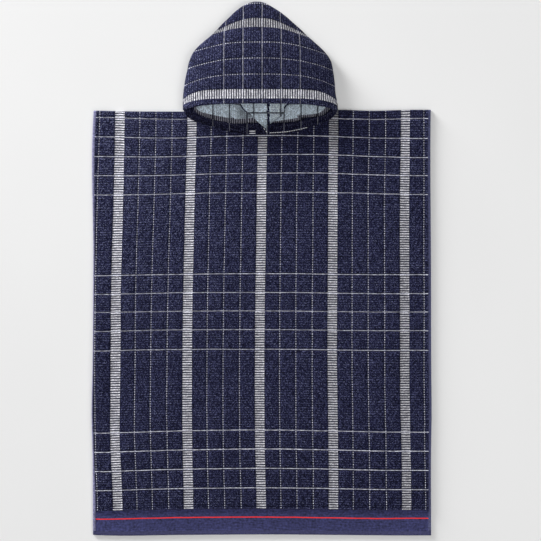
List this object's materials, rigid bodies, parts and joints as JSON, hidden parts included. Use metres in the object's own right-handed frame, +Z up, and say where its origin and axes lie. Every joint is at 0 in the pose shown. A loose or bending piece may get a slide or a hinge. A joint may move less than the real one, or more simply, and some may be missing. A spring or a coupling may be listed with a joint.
{
  "type": "hooded bath poncho",
  "caption": "Child's hooded bath poncho in windowpane terry, laid flat: front and back panels with open sides and a flat-woven border, and a hood with a turned face hem.",
  "frame": {"origin": "middle of the laid garment's box, on the surface that it rests on", "axes": "+Z up out of the surface, +Y from the hem to the hood's peak, +X across to the right"},
  "size_m": [0.6027, 0.9469, 0.0382],
  "materials": {
    "body_cloth": "navy terry with a pale windowpane check and a flat-woven border",
    "hood_cloth": "navy terry with a pale windowpane check, light grey inside"
  },
  "bodies": {
    "root": {"body_back": "body_cloth", "body_front": "body_cloth", "hood": "hood_cloth"}
  },
  "joints": []
}
